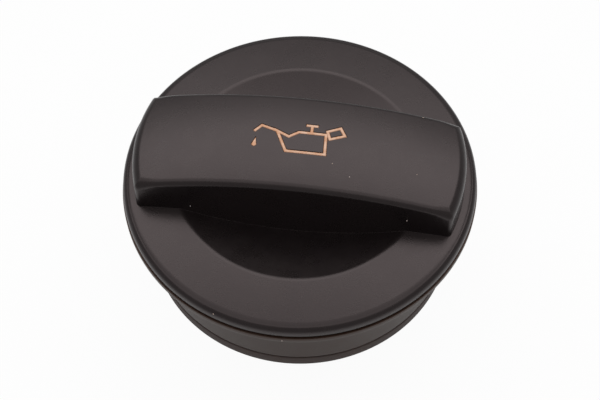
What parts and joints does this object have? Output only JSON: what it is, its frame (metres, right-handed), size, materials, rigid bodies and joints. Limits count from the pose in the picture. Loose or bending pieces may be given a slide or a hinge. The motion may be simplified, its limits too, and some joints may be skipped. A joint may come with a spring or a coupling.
{
  "type": "oil filler cap",
  "caption": "Round black oil filler cap with an arched grip bar between finger recesses, a collar with a sealing ring and a hollow bayonet plug.",
  "frame": {"origin": "centre of the plug's flat lower end, on the cap's axis", "axes": "+Z along the cap's axis towards the grip, +X along the grip bar"},
  "size_m": [0.0664, 0.0664, 0.0441],
  "materials": {
    "cover": "fine spark-eroded texture, satin matte",
    "body": "smooth moulded, satin",
    "seal": "matt rubber",
    "symbol": "orange infill paint, satin"
  },
  "bodies": {
    "root": {"grip_cover": "cover", "plug_body": "body", "sealing_ring": "seal", "oil_can_symbol": "symbol"}
  },
  "joints": []
}
